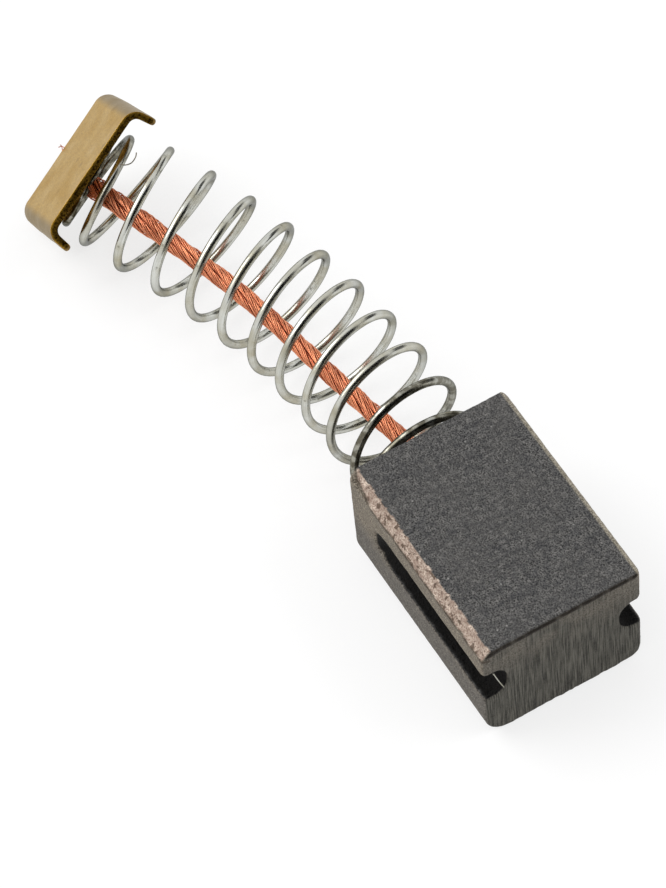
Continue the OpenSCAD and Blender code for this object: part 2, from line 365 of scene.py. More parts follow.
# %% Apply modifiers and cut
def apply_modifiers(piece):
    """Puts the evaluated mesh in place of the mesh and its modifiers."""
    graph = bpy.context.evaluated_depsgraph_get()
    done = bpy.data.meshes.new_from_object(piece.evaluated_get(graph), depsgraph=graph)
    piece.modifiers.clear()
    piece.data = done
    return piece


def cut(piece, tool, operation="DIFFERENCE"):
    """Takes the tool's shape out of the piece, or keeps only what lies inside it, and removes the tool."""
    boolean = piece.modifiers.new("cut", "BOOLEAN")
    boolean.object = tool
    boolean.operation = operation
    boolean.solver = "EXACT"
    apply_modifiers(piece)
    bpy.data.objects.remove(tool)


# %% Bring a piece to metres and paint it
def finish_piece(piece, finish, slot, body=None, *nodes):
    """Brings a piece to metres, paints it and puts it on its body."""
    piece.data.transform(Matrix.Scale(MM, 4))
    piece.data.materials.clear()
    piece.data.materials.append(finish)
    if body:
        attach(piece, body)
    if nodes:
        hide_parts(*nodes)
    triangles = sum(len(face.vertices) - 2 for face in piece.data.polygons)
    print(piece.name, "has", triangles, "triangles")
    return piece


# %% [markdown]
# ## The carbon block
# Carbon brushes are pressed from powder and then ground, so their faces are flat but grainy, and their
# edges crumble a little. The four upright edges are worn round by handling, each by its own amount. The
# block is cut from a box with the cutter that made the grooves, then remeshed to even small faces. Even
# faces let a noise crumble the edges and chip the contact edge, which a bevel can't do: a bevel makes
# every edge the same.

# %% Driving sizes of the block
BLOCK_L, BLOCK_W, BLOCK_H = 9.85, 7.0, 5.7
SPRING_END = Vector((-BLOCK_L / 2, 0, 0))
LEFT_CHAMFER, RIGHT_CHAMFER, LEFT_EDGE_R, RIGHT_EDGE_R = 0.4, 0.15, 1.1, 0.8
GROOVE_H, GROOVE_D = 1.65, 1.0
LEFT_GROOVE_Z, RIGHT_GROOVE_Z = 2.6, 2.3
CUTTER_R, CUTTER_NOSE_R, RUNOUT_X = 6.0, 0.65, 1.75
SOCKET_R, SOCKET_Y, SOCKET_Z = 0.95, 0.1, 2.9


# %% Rough block
def bevelled_box(size, centre, corners):
    """A box in which the edges picked by each (test, width, segments) are bevelled."""
    bm = bmesh.new()
    bmesh.ops.create_cube(bm, size=1, matrix=Matrix.Translation(centre) @ Matrix.Diagonal((*size, 1)))
    for picks, width, segments in corners:
        edges = [e for e in bm.edges if picks((e.verts[0].co + e.verts[1].co) / 2)]
        bmesh.ops.bevel(bm, geom=edges, offset=width, segments=segments, profile=0.5, affect="EDGES",
                        offset_type="OFFSET", material=-1)
    return bm


def near_edge(y, z):
    """Picks the long edge of the block at that y and z."""
    return lambda middle: abs(middle.y - y) < 0.01 and abs(middle.z - z) < 0.01


def upright(x, y):
    """Picks the upright edge of the block at that x and y."""
    return lambda middle: abs(middle.x - x) < 0.01 and abs(middle.y - y) < 0.01


block = piece_from(bevelled_box((BLOCK_L, BLOCK_W, BLOCK_H), Vector((0, 0, BLOCK_H / 2)), [
    (near_edge(-BLOCK_W / 2, BLOCK_H), LEFT_CHAMFER, 1),
    (near_edge(BLOCK_W / 2, BLOCK_H), RIGHT_CHAMFER, 1),
    (near_edge(-BLOCK_W / 2, 0), LEFT_EDGE_R, 10),
    (near_edge(BLOCK_W / 2, 0), RIGHT_EDGE_R, 8),
]), "block")
worn_sides = bevelled_box((BLOCK_L, BLOCK_W, 3 * BLOCK_H), Vector((0, 0, BLOCK_H / 2)), [
    (upright(BLOCK_L / 2, BLOCK_W / 2), 0.28, 5),
    (upright(BLOCK_L / 2, -BLOCK_W / 2), 0.1, 3),
    (upright(-BLOCK_L / 2, -BLOCK_W / 2), 0.15, 4),
    (upright(-BLOCK_L / 2, BLOCK_W / 2), 0.18, 4),
])
cut(block, piece_from(worn_sides, "worn_sides"), "INTERSECT")
print("rough block:", [round(x, 2) for x in block.dimensions])


# %% Grooves and socket
def cutter_disc(side, z):
    """The milling cutter where it stops, as a disc with a rounded rim."""
    runout = math.sqrt(2 * CUTTER_R * GROOVE_D - GROOVE_D ** 2)
    stop = SPRING_END.x + RUNOUT_X + runout
    centre = Vector((stop, side * (BLOCK_W / 2 - GROOVE_D + CUTTER_R), z + GROOVE_H / 2))
    bm = bmesh.new()
    bmesh.ops.create_cone(bm, cap_ends=True, segments=160, radius1=CUTTER_R, radius2=CUTTER_R, depth=GROOVE_H,
                          matrix=Matrix.Translation(centre))
    rims = [e for e in bm.edges if abs(e.verts[0].co.z - e.verts[1].co.z) < 0.01 and len(e.link_faces) == 2]
    bmesh.ops.bevel(bm, geom=rims, offset=CUTTER_NOSE_R, segments=6, profile=0.5, affect="EDGES",
                    offset_type="OFFSET", material=-1)
    return piece_from(bm, "cutter"), stop


def cutter_path(side, z, stop):
    """The straight path of the cutter from where it stops to past the contact face."""
    length = BLOCK_L / 2 - stop + 1
    depth = side * (BLOCK_W / 2 - GROOVE_D)
    centre = Vector((stop + length / 2, depth + side * CUTTER_R / 2, z + GROOVE_H / 2))
    bottom = [(near_edge(depth, height), CUTTER_NOSE_R, 6) for height in (z, z + GROOVE_H)]
    return piece_from(bevelled_box((length, CUTTER_R, GROOVE_H), centre, bottom), "cutter_path")


for side, z in ((-1, LEFT_GROOVE_Z), (1, RIGHT_GROOVE_Z)):
    disc, stop = cutter_disc(side, z)
    cut(block, disc)
    cut(block, cutter_path(side, z, stop))
drill = bmesh.new()
bmesh.ops.create_cone(drill, cap_ends=True, segments=48, radius1=SOCKET_R, radius2=SOCKET_R, depth=10,
                      matrix=Matrix.Translation((SPRING_END.x - 0.8, SOCKET_Y, SOCKET_Z))
                      @ Matrix.Rotation(math.pi / 2, 4, "Y"))
cut(block, piece_from(drill, "drill"))
print("cut block:", len(block.data.polygons), "faces")

# %% [markdown]
# ### Crumbled edges
# After the remesh every point knows how far a little smoothing would pull it in: that is large on an edge
# and nothing on a flat face. That pull is used twice: it rounds the edges by a hair, and it tells the
# noise where it may bite. The contact face's lower edge also gets a row of shallow chips.

# %% Sizes of the wear
GRAIN = 0.07
EDGE_BITE, DEEPEST_PULL, SHARP_PULL = 0.9, 0.12, 0.035
CHIPS, CHIP_SEED = 11, 5
CHIP_RADII, CHIP_DEPTHS = (0.35, 0.6, 1.4), (0.04, 0.11)


def chip_balls():
    """Middles and radii of the balls that chip the lower edge of the contact face."""
    rng = random.Random(CHIP_SEED)
    span = BLOCK_W - LEFT_EDGE_R - RIGHT_EDGE_R
    for i in range(CHIPS):
        y = LEFT_EDGE_R - BLOCK_W / 2 + span * (i + rng.uniform(0.1, 0.9)) / CHIPS
        radius = rng.choice(CHIP_RADII)
        reach = (radius - rng.uniform(*CHIP_DEPTHS)) / math.sqrt(2)
        yield Vector((BLOCK_L / 2 + reach, y, -reach)), radius


# %% Remesh and wear the block
remesh = block.modifiers.new("even_faces", "REMESH")
remesh.mode = "VOXEL"
remesh.voxel_size = GRAIN
apply_modifiers(block)
bm = bmesh.new()
bm.from_mesh(block.data)
before = {v.index: v.co.copy() for v in bm.verts}
for _ in range(4):
    bmesh.ops.smooth_vert(bm, verts=bm.verts, factor=0.5, use_axis_x=True, use_axis_y=True, use_axis_z=True)
bm.normal_update()
pulls = {v.index: (v.co - before[v.index]).length for v in bm.verts}
chips = list(chip_balls())
for v in bm.verts:
    crumble = max(noise.noise(v.co * 1.7) + 0.6 * noise.noise(v.co * 5.1) + 0.1, 0)
    grain = 0.006 * noise.noise(v.co * 6) + 0.004 * noise.noise(v.co * 13)
    v.co += v.normal * (grain - EDGE_BITE * crumble * min(pulls[v.index], DEEPEST_PULL))
    for centre, radius in chips:
        away = v.co - centre
        if away.length < radius:
            v.co = centre + away.normalized() * radius
    v.co.z = max(v.co.z, 0)
bm.normal_update()
bm.to_mesh(block.data)
bm.free()
edge_layer = block.data.attributes.new("edge", "FLOAT", "POINT")
edge_layer.data.foreach_set("value", [min(pulls[i] / SHARP_PULL, 1.0) for i in range(len(pulls))])
print("worn block has", len(block.data.polygons), "faces")
print("deepest pull on an edge is", round(max(pulls.values()), 3), "mm")

# %% [markdown]
# ### Where each finish lies on the block
# The pressed top is dark, and the ground sides are paler and browner above the grooves than below them.
# One top chamfer is freshly broken and pinkish, and the grooves are painted near black as shade. A
# colour attribute on the points holds these four zones, with a noise that frays the borders of the
# chamfer and of the painted groove shade.
# Painting by position keeps each zone in its place, whatever the wear did to the faces.


# %% Soft borders
def clamp(value):
    return min(max(value, 0.0), 1.0)


def band(value, middle, half):
    """1 at the middle of a band, 0 at its borders."""
    return clamp(1.6 * (1 - abs(value - middle) / half))


def chamfer_foot(co):
    """Height at which the broken part of the chamfer ends; it starts narrow at the spring end."""
    from_end = co.x - SPRING_END.x
    width = 0.15 + 0.25 * clamp((from_end - 0.3) / 1.5) + 0.06 * noise.noise(co * 1.6)
    return BLOCK_H - max(width, 0.0) * clamp(from_end / 0.35)


# %% Zones of the block
def zone_of(co, normal):
    """Chamfer, contact face, side and painted groove shade shares at a point."""
    left_edge = -BLOCK_W / 2 + LEFT_CHAMFER + 0.05 * noise.noise(co * 4)
    chamfer = co.y < left_edge and co.z > chamfer_foot(co) and co.x < BLOCK_L / 2 - 0.08
    contact = co.x > BLOCK_L / 2 - 0.05
    groove_z = LEFT_GROOVE_Z if co.y < 0 else RIGHT_GROOVE_Z
    in_groove = groove_z - 0.05 < co.z < groove_z + GROOVE_H + 0.05
    in_groove = in_groove and not contact and co.x > SPRING_END.x + 1
    inward = BLOCK_W / 2 - abs(co.y)
    # Painted shade inside the grooves, full a little way in from the side face.
    groove_shade = clamp((inward - 0.04) / 0.04)
    if normal.z > 0.5:
        groove_shade = clamp(inward / 0.1 + 0.5 * noise.noise(co * 3.5) - 0.2)
    below = clamp((LEFT_GROOVE_Z + GROOVE_H / 2 - co.z) / 1.2 + 0.3 * noise.noise(co * 1.3))
    side = float(abs(normal.y) > 0.5 or co.z < 0.4) * (1 - 0.6 * below)
    return (float(chamfer), float(contact), side, groove_shade * float(in_groove and inward < GROOVE_D + 0.1))


# %% [markdown]
# ### Marks on the block
# Four marks lie over the zones, so they get a colour attribute of their own: the dark line along the top of
# the contact face, partly crumbled carbon and partly painted shade of its rounded edge, the painted shadow
# line under the broken chamfer, the paler corners of the contact face, and the narrow chamfer, rubbed pale.


# %% Marks on the block
def marks_of(co):
    """Painted edge shade, painted chamfer shadow, paler corners and pale narrow chamfer at a point."""
    near_face = clamp((co.x - BLOCK_L / 2 + 0.12) / 0.08)
    left = clamp((-co.y - 2.6) / 0.6)
    # The dark line is partly crumbled carbon and partly painted shade of the rounded top edge.
    dark = near_face * band(co.z, BLOCK_H - 0.08 - 0.06 * left, 0.14 + 0.08 * left)
    dark *= clamp(1.2 + noise.noise(co * 3))
    # A painted shadow line where the broken chamfer meets the side.
    chamfer_shadow = band(co.z, chamfer_foot(co) - 0.05, 0.1) * float(co.y < -BLOCK_W / 2 + 0.35)
    corner = near_face * clamp((co.z - 3.4) / 1.4) * clamp(0.35 + abs(co.y) / 5 + noise.noise(co * 1.5))
    pale = clamp((co.y - BLOCK_W / 2 + 0.22) / 0.04) * clamp((co.z - BLOCK_H + 0.3) / 0.05)
    return (dark, chamfer_shadow * clamp(0.8 + 1.5 * noise.noise(co * 2.5)), corner, pale)


# %% Write the zones and the marks
zones = block.data.color_attributes.new("zone", "FLOAT_COLOR", "POINT")
marks = block.data.color_attributes.new("marks", "FLOAT_COLOR", "POINT")
normals = [v.normal.copy() for v in block.data.vertices]
for v, normal, cell, mark in zip(block.data.vertices, normals, zones.data, marks.data):
    cell.color = zone_of(v.co, normal)
    mark.color = marks_of(v.co)
print("zoned", len(zones.data), "points")

# %% [markdown]
# ### Carbon
# Carbon graphite is a dark grain of soft powder, dull from most sides, with a few grains that glint. Each
# zone gets its own colours first: the grainy top with its scuffs, the ground sides, the contact face
# scored up and down by the commutator, the broken chamfer and the painted shade in the grooves. The zones
# are then laid over each other, and one height for all of them makes the grain rough to the light. One
# material is used and not five, because the zones fray into each other.

# %% Masks of the carbon
carbon, build, shader, place = material("carbon")
zone = attribute(build, "zone")
split = build.add("ShaderNodeSeparateColor", {0: zone.outputs["Color"]}).outputs
chamfer_zone, contact_zone, side_zone, groove_zone = split[0], split[1], split[2], zone.outputs["Alpha"]
edge = attribute(build, "edge").outputs["Fac"]
marked = attribute(build, "marks")
signs = build.add("ShaderNodeSeparateColor", {0: marked.outputs["Color"]}).outputs
cloudy = build.group(mottle, {"Place": place, "Per mm": 0.6, "Detail": 3.0, "Low": 0.3, "High": 0.7})
grainy = build.group(mottle, {"Place": place, "Per mm": 16.0, "Detail": 4.0, "Low": 0.37, "High": 0.63})
crumbs = build.group(mottle, {"Place": place, "Per mm": 4.0, "Detail": 5.0, "Low": 0.4, "High": 0.62})
dusty = build.group(specks, {"Place": place, "Per mm": 6.0, "Size": 0.35, "Share": 0.25})
bright = build.group(specks, {"Place": place, "Per mm": 2.4, "Size": 0.13, "Share": 0.3})
print("carbon has", len(carbon.node_tree.nodes), "nodes for its masks")

# %% Colours of the top and the sides
top = build.mix(grainy, colour(0.008, 0.008, 0.009), colour(0.205, 0.2, 0.192))
top = build.over(top, crumbs, 0.45, colour(0.02, 0.022, 0.028))
top = build.over(top, cloudy, 0.35, colour(0.105, 0.1, 0.094))
scuffs = build.group(fine_lines, {"Place": place, "Squeeze": (5.0, 0.7, 1.0), "Low": 0.52, "High": 0.7})
top = build.over(top, scuffs, 0.3, colour(0.02, 0.021, 0.026))
top = build.over(top, dusty, 0.5, colour(0.26, 0.25, 0.24))
top = build.over(top, bright, 0.8, colour(0.45, 0.44, 0.42))
ground = build.group(fine_lines, {"Place": place, "Squeeze": (1.2, 9.0, 9.0), "Low": 0.3, "High": 0.7})
sides = build.mix(grainy, colour(0.035, 0.028, 0.018), colour(0.45, 0.395, 0.315))
sides = build.over(sides, ground, 0.4, colour(0.09, 0.074, 0.054))
sides = build.over(sides, crumbs, 0.45, colour(0.12, 0.1, 0.075))

# %% Colours of the contact face, the chamfer and the grooves
sawn = build.group(fine_lines, {"Place": place, "Squeeze": (1.0, 17.0, 0.7), "Low": 0.39, "High": 0.61})
deep = build.group(fine_lines, {"Place": place, "Squeeze": (1.0, 4.0, 0.4), "Low": 0.3, "High": 0.7})
face = build.mix(sawn, colour(0.012, 0.011, 0.008), colour(0.155, 0.147, 0.124))
face = build.over(face, deep, 0.4, colour(0.025, 0.024, 0.02))
face = build.over(face, grainy, 0.35, colour(0.16, 0.152, 0.13))
rubbed = build.mix(grainy, colour(0.07, 0.06, 0.047), colour(0.27, 0.24, 0.2))
face = build.over(face, signs[2], 0.6, rubbed)
broken = build.mix(grainy, colour(0.26, 0.18, 0.14), colour(0.72, 0.6, 0.5))
broken = build.over(broken, crumbs, 0.6, colour(0.26, 0.18, 0.14))
pits = build.group(mottle, {"Place": place, "Per mm": 4.5, "Detail": 5.0, "Low": 0.56, "High": 0.62})
broken = build.over(broken, pits, 0.85, colour(0.1, 0.065, 0.045))
# Painted shade for the inside of the grooves, near black.
groove_shade = build.mix(grainy, colour(0.0, 0.0, 0.0), colour(0.008, 0.007, 0.006))

# %% Zones and marks laid over each other
paint = build.mix(side_zone, top, sides)
paint = build.mix(contact_zone, paint, face)
rim = build.math("MULTIPLY", build.spread(edge, 0.45, 0.95), build.spread(crumbs, 0.0, 0.6, 0.4, 1.0))
paint = build.over(paint, rim, 0.75, colour(0.03, 0.022, 0.015))
worn = build.mix(grainy, colour(0.16, 0.14, 0.1), colour(0.5, 0.45, 0.36))
paint = build.over(paint, marked.outputs["Alpha"], 0.8, worn)
paint = build.mix(chamfer_zone, paint, broken)
# Painted shade along the top of the contact face, partly crumbled carbon.
paint = build.over(paint, signs[0], 0.95, colour(0.012, 0.008, 0.005))
# The painted shadow line under the broken chamfer.
paint = build.over(paint, signs[1], 0.7, colour(0.045, 0.028, 0.018))
# The painted groove shade is laid over everything else.
paint = build.mix(groove_zone, paint, groove_shade)
build.feed(paint, shader["Base Color"])
build.feed(build.spread(grainy, 0, 1, 0.55, 0.8), shader["Roughness"])
shader["Specular IOR Level"].default_value = 0.16
scored = build.math("MULTIPLY", build.math("MULTIPLY", sawn, contact_zone), 0.9)
height = build.math("ADD", build.math("ADD", grainy, build.math("MULTIPLY", crumbs, 1.5)), scored)
build.feed(bump(build, height, 0.7, 0.03), shader["Normal"])
finish_piece(block, carbon, "carbon", "brush", "carbon_block")

# %% [markdown]
# ## The spring
# The solid of the spring is coarse, and its eight flat sides would show. The wire is drawn again with far
# more rings, on a path worked out in the solid's own way: a bent centre line, a swinging axis, a pitch
# that opens and closes. The two closed turns are drawn closer to the real ones than the solid has them:
# the one in the cap is tighter and leans more, the one on the block hangs lower. The wire itself is drawn
# a hair thinner. A sweep ring by ring is used and not a screw modifier, since a screw can't bend or
# change its pitch.

# %% Driving sizes of the spring
WIRE_D, COIL_R, CAP_COIL_R = 0.4, 2.55, 1.95
BLOCK_TURNS, ACTIVE_TURNS, CAP_TURNS = 0.75, 10.65, 1.0
CLOSED_PITCH, OPENING_PITCH, PITCH_GROWTH = 0.43, 0.25, 0.31
OPENING_TURNS, CLOSING_TURNS = 0.6, 1.6
WIRE_START, SEAT_SAG, DRAWN_R = 153, 0.75, 0.182
TOUCHING_PITCH = 0.41
WIRE_SEAT = WIRE_D / 2 + 0.01
CAP_L, CAP_W, CAP_T, LEG_L, BEND_R, LEG_SPLAY = 6.1, 5.0, 0.3, 1.25, 0.65, math.radians(8)
cap_turn = Euler([math.radians(a) for a in (44.3, -26.1, 108.4)]).to_matrix()
leg_corner = Vector((-CAP_L / 2 - LEG_L * math.sin(LEG_SPLAY), -LEG_L * math.cos(LEG_SPLAY), -CAP_W / 2))
cap_place = Vector((SPRING_END.x - 20.2, -4.65, -(cap_turn @ leg_corner).z))
web_normal = cap_turn @ Vector((0, 1, 0))
in_cap_frame = Matrix.Translation(cap_place) @ cap_turn.to_4x4()
print("cap stands", round(cap_place.z, 2), "mm high at the middle of its web")

# %% [markdown]
# ### The coil's centre line and pitch
# The centre line is one smooth curve, drawn by its two ends and two handles between them. Each turn takes
# a share of it by its pitch, which grows towards the cap and gets narrow beside both closed ends.

# %% Seats and handles of the centre line
RINGS_A_TURN = 64
coil_turns = BLOCK_TURNS + ACTIVE_TURNS + CAP_TURNS
wire_places = [i / RINGS_A_TURN for i in range(round(coil_turns * RINGS_A_TURN) + 1)]
LEAN_ACROSS, LEAN_ALONG = math.radians(12.5), math.radians(-3.4)
SEAT_SHIFT = Vector((-0.3, -0.32, -1.15))
level_part = math.cos(LEAN_ACROSS)
cap_axis = cap_turn @ Vector((level_part * math.sin(LEAN_ALONG), level_part * math.cos(LEAN_ALONG),
                              -math.sin(LEAN_ACROSS)))
cap_seat = cap_place - SPRING_END - web_normal * (CAP_T + WIRE_SEAT) + cap_turn @ SEAT_SHIFT
bow = [Vector((-WIRE_SEAT - BLOCK_TURNS * CLOSED_PITCH, -0.1, 3.5)), Vector((-8.4, 0.2, 2.5)),
       Vector((-13.2, -1.7, 3.8)), cap_seat - cap_axis * CAP_TURNS * CLOSED_PITCH]


# %% Pitch along the wire
def active_at(place):
    return min(max(place - BLOCK_TURNS, 0.0), ACTIVE_TURNS)


def unclosed(place):
    return clamp((ACTIVE_TURNS - active_at(place)) / CLOSING_TURNS)


def pitch_at(place):
    """Pitch at a place along the wire, as a part of the mean pitch."""
    active = active_at(place)
    if not 0 < active < ACTIVE_TURNS:
        return 0.0
    growth = 1 + PITCH_GROWTH * (active / ACTIVE_TURNS - 0.5)
    return OPENING_PITCH + (growth - OPENING_PITCH) * clamp(active / OPENING_TURNS) * unclosed(place)


# %% A point on the wire
def square_to(v, n):
    return (v - n * v.dot(n)).normalized()


def bow_at(share):
    """Point of the bent centre line."""
    a, b, c, d = bow
    keep = 1 - share
    return a * keep ** 3 + 3 * b * share * keep ** 2 + 3 * c * share ** 2 * keep + d * share ** 3


def wire_point(place, share):
    """Middle of the wire and the way out from the coil's centre, from the spring end of the block."""
    centre = bow_at(share)
    centre += Vector((max(BLOCK_TURNS - place, 0) * CLOSED_PITCH, 0, 0))
    centre += cap_axis * max(place - BLOCK_TURNS - ACTIVE_TURNS, 0) * CLOSED_PITCH
    centre -= Vector((0, 0, SEAT_SAG * (1 - clamp(place - BLOCK_TURNS + 0.25))))
    yaw = math.radians(40 * share - 9 * share ** 2)
    lift = math.radians(6 * share + 17 * share ** 2)
    free = Vector((-math.cos(lift) * math.cos(yaw), -math.cos(lift) * math.sin(yaw), math.sin(lift)))
    axis = (unclosed(place) * free + (1 - unclosed(place)) * cap_axis).normalized()
    up = square_to(Vector((0, 0, 1)), axis)
    angle = math.radians(360 * place + WIRE_START)
    out = math.cos(angle) * up + math.sin(angle) * axis.cross(up)
    radius = CAP_COIL_R + (COIL_R - CAP_COIL_R) * unclosed(place)
    return centre + radius * out + SPRING_END, out


# %% Lay out the wire
sums = [0.0]
for place in wire_places[:-1]:
    sums.append(sums[-1] + pitch_at(place))
wire_path = [wire_point(place, s / sums[-1]) for place, s in zip(wire_places, sums)]
wire_length = sum((wire_path[i + 1][0] - wire_path[i][0]).length for i in range(len(wire_path) - 1))
print("wire is", round(wire_length, 1), "mm long in", coil_turns, "turns")


# %% [markdown]
# ### How the soft pieces follow the joint
# When the cap is pushed home, the closed turn on the block stays, the closed turn in the cap goes with
# the cap, and each turn between closes its own gap. So each ring of the wire carries one number, the
# share of all free gaps that lies before it, and the blend between the two bodies uses that number.
# Narrow gaps then close less than wide ones, no turn is pressed through the next, and the wire keeps its
# round section. The fine wires of the shunt get their share from the length passed.


# %% Sweep a round bar
def heading(line, i):
    return (line[min(i + 1, len(line) - 1)] - line[max(i - 1, 0)]).normalized()


def sweep(bm, line, outs, radius, sides, follow, tone):
    """Adds a round bar along a line, with flat ends; each ring has a share of the travel and a tone."""
    share = bm.verts.layers.float.get("follow") or bm.verts.layers.float.new("follow")
    shade = bm.verts.layers.float.get("tone") or bm.verts.layers.float.new("tone")
    lane = bm.loops.layers.uv.get("wire") or bm.loops.layers.uv.new("wire")
    rings, passed = [], [0.0]
    for i, point in enumerate(line):
        ahead = heading(line, i)
        out = square_to(outs[i], ahead)
        across = ahead.cross(out)
        turns = [2 * math.pi * k / sides for k in range(sides)]
        ring = [bm.verts.new(point + radius * (math.cos(t) * out + math.sin(t) * across)) for t in turns]
        for vert in ring:
            vert[share] = follow[i]
            vert[shade] = tone[i]
        rings.append(ring)
        if i:
            passed.append(passed[-1] + (point - line[i - 1]).length)
    for i in range(len(rings) - 1):
        for k in range(sides):
            j = (k + 1) % sides
            face = bm.faces.new((rings[i][k], rings[i][j], rings[i + 1][j], rings[i + 1][k]))
            for loop, (u, v) in zip(face.loops, ((i, k), (i, k + 1), (i + 1, k + 1), (i + 1, k))):
                loop[lane].uv = (passed[u], v / sides)
    bm.faces.new(list(reversed(rings[0])))
    bm.faces.new(rings[-1])


# %% Follow the cap
def follow_the_cap(piece):
    """Blends a finished piece from the block to the cap by the shares stored on its points."""
    mesh = piece.data
    shares = [item.value for item in mesh.attributes["follow"].data]
    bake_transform(piece, "brush", "cap", start=SPRING_END * MM, end=cap_place * MM)
    mesh.attributes["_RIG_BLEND"].data.foreach_set("value", shares)
    mesh.attributes.remove(mesh.attributes["follow"])
    print(piece.name, "follows from", round(min(shares), 2), "to", round(max(shares), 2))


# %% Steel wire
wire_bm = bmesh.new()
bow_length = sum((bow_at((i + 1) / 50) - bow_at(i / 50)).length for i in range(50))
touching = TOUCHING_PITCH / RINGS_A_TURN
gaps = [max(pitch_at(p) / sums[-1] * bow_length - touching, 0) for p in wire_places]
wire_follow = [0.0]
for gap in gaps[:-1]:
    wire_follow.append(wire_follow[-1] + gap / sum(gaps[:-1]))
print("centre line", round(bow_length, 1), "mm, free travel", round(sum(gaps), 1), "mm")
from_cap = [coil_turns - p for p in wire_places]
# Tone of the closed turns at both ends: partly grime, partly painted shade.
wire_tone = [0.9 * clamp((2.7 - p) / 1.2) + clamp((2.1 - q) / 0.7) for p, q in zip(wire_places, from_cap)]
sweep(wire_bm, [p for p, _ in wire_path], [out for _, out in wire_path], DRAWN_R, 16, wire_follow, wire_tone)
wire_ends = [f for f in wire_bm.faces if len(f.verts) > 4]
bmesh.ops.bevel(wire_bm, geom=[e for f in wire_ends for e in f.edges], offset=0.04, segments=2, profile=0.5,
                affect="EDGES", offset_type="OFFSET", material=-1)
spring_wire = piece_from(wire_bm, "spring_wire")

# %% [markdown]
# ### Spring steel
# The wire is plated and has dulled: grey patches, a few flecks, and fine drawing lines along it. The
# closed turns are painted dark and nearly olive by the tone on their points: partly grime, and partly
# painted shade where they lie inside the cap and against the block. Towards its rims the tint is painted
# darker, as a painted reflection of a greyer room. Dark stripes painted on the wire would look right from
# one side only, so the dark cards make them.

# %% Steel
steel, build, shader, place = material("spring_steel", metallic=1.0)
shader["Specular Tint"].default_value = colour(0.45, 0.45, 0.44)
lane = build.add("ShaderNodeUVMap", uv_map="wire").outputs[0]
drawn = build.group(fine_lines, {"Place": lane, "Squeeze": (0.5, 14.0, 1.0), "Low": 0.3, "High": 0.7})
patchy = build.group(mottle, {"Place": place, "Per mm": 1.1, "Detail": 3.0, "Low": 0.35, "High": 0.7})
flecks = build.group(specks, {"Place": place, "Per mm": 4.0, "Size": 0.3, "Share": 0.14})
tint = build.mix(patchy, colour(0.7, 0.71, 0.67), colour(0.5, 0.47, 0.36))
tint = build.over(tint, drawn, 0.4, colour(0.25, 0.25, 0.21))
tint = build.over(tint, flecks, 0.7, colour(0.1, 0.09, 0.06))
olive = attribute(build, "tone").outputs["Fac"]
smudges = build.group(mottle, {"Place": place, "Per mm": 3.5, "Detail": 4.0, "Low": 0.4, "High": 0.56})
# Painted shade and grime darken the closed turns, broken up by smudges.
grime_and_shade = build.math("MULTIPLY", olive, build.spread(smudges, 0, 1, 0.45, 1.0))
tint = build.mix(grime_and_shade, tint, colour(0.09, 0.08, 0.055))
# Painted reflection: the tint darkens towards the wire's rims, as if a greyer room were mirrored there.
painted_rim_reflection = build.add("ShaderNodeLayerWeight", {"Blend": 0.5}).outputs["Facing"]
tint = build.mix(build.spread(painted_rim_reflection, 0.6, 0.95, 0.0, 0.6), tint, colour(0.16, 0.17, 0.16))
build.feed(tint, shader["Base Color"])
build.feed(build.spread(patchy, 0, 1, 0.18, 0.32), shader["Roughness"])
build.feed(bump(build, drawn, 0.25, 0.01), shader["Normal"])
finish_piece(spring_wire, steel, "spring_steel", None, "spring")
follow_the_cap(spring_wire)

# %% [markdown]
# ## The shunt
# The shunt is a rope: seven bundles, and each bundle is a handful of fine copper wires twisted together.
# That fine twist is what makes it look like soft copper rope and not like seven smooth rods. Each bundle
# is swept wire by wire round the bundle's own path, which is itself wound round the middle bundle. Seeded
# wobble keeps the wires from lying too well, so the rope comes out a hair thicker than its solids.

# %% Route of the shunt
ROUTE = [(3.6, 0.1, 2.9), (1.8, 0.1, 2.9), (0, 0.1, 2.9), (-2, -0.2, 2.95), (-4, -0.6, 2.95), (-6, -1, 3),
         (-8, -1.35, 3), (-10, -1.75, 3.05), (-12, -2.25, 3.1), (-14, -2.9, 3.2), (-16, -3.55, 3.3),
         (-17.8, -4.15, 3.35), (-19.35, -4.65, 3.4)]
STRAND_R, LAY_LENGTH, STEPS = 0.11, 8.0, 12
LAY_R = 2.35 * STRAND_R
FINE_R, FINE_LAY, FINE_RING_R = 0.031, 2.4, 0.095
LOOSE, LOOSE_AT_CAP, FAN = 0.02, 0.05, 0.18


def between(a, b, c, d, t):
    """A point between b and c on a smooth curve through all four."""
    return (b + t * (c - a) / 2 + t * t * (a - 2.5 * b + 2 * c - d / 2)
            + t ** 3 * (1.5 * (b - c) + (d - a) / 2))


def smooth_line(points):
    """A smooth line through the points, with the same number of steps between each two."""
    stops = [Vector(p) for p in points]
    last = len(stops) - 1
    line = []
    for i in range(last * STEPS + 1):
        k = min(i // STEPS, last - 1)
        a, b, c, d = stops[max(k - 1, 0)], stops[k], stops[k + 1], stops[min(k + 2, last)]
        line.append(between(a, b, c, d, i / STEPS - k))
    return line


shunt_line = smooth_line(ROUTE)
passed = [0.0]
for i in range(1, len(shunt_line)):
    passed.append(passed[-1] + (shunt_line[i] - shunt_line[i - 1]).length)
face_at = passed[2 * STEPS]
shunt_follow = [clamp((s - face_at) / (passed[-1] - face_at)) for s in passed]
print("shunt is", round(passed[-1] - face_at, 1), "mm long outside the block")


# %% Bundles of fine wires
def winding(line, start, lay, radius):
    """Points that wind round a line, and the way out from it at each."""
    points, outs = [], []
    for i, point in enumerate(line):
        ahead = heading(line, i)
        up = square_to(Vector((0, 0, 1)), ahead)
        angle = start + 2 * math.pi * passed[i] / lay
        out = math.cos(angle) * up + math.sin(angle) * ahead.cross(up)
        points.append(point + radius * out)
        outs.append(out)
    return points, outs


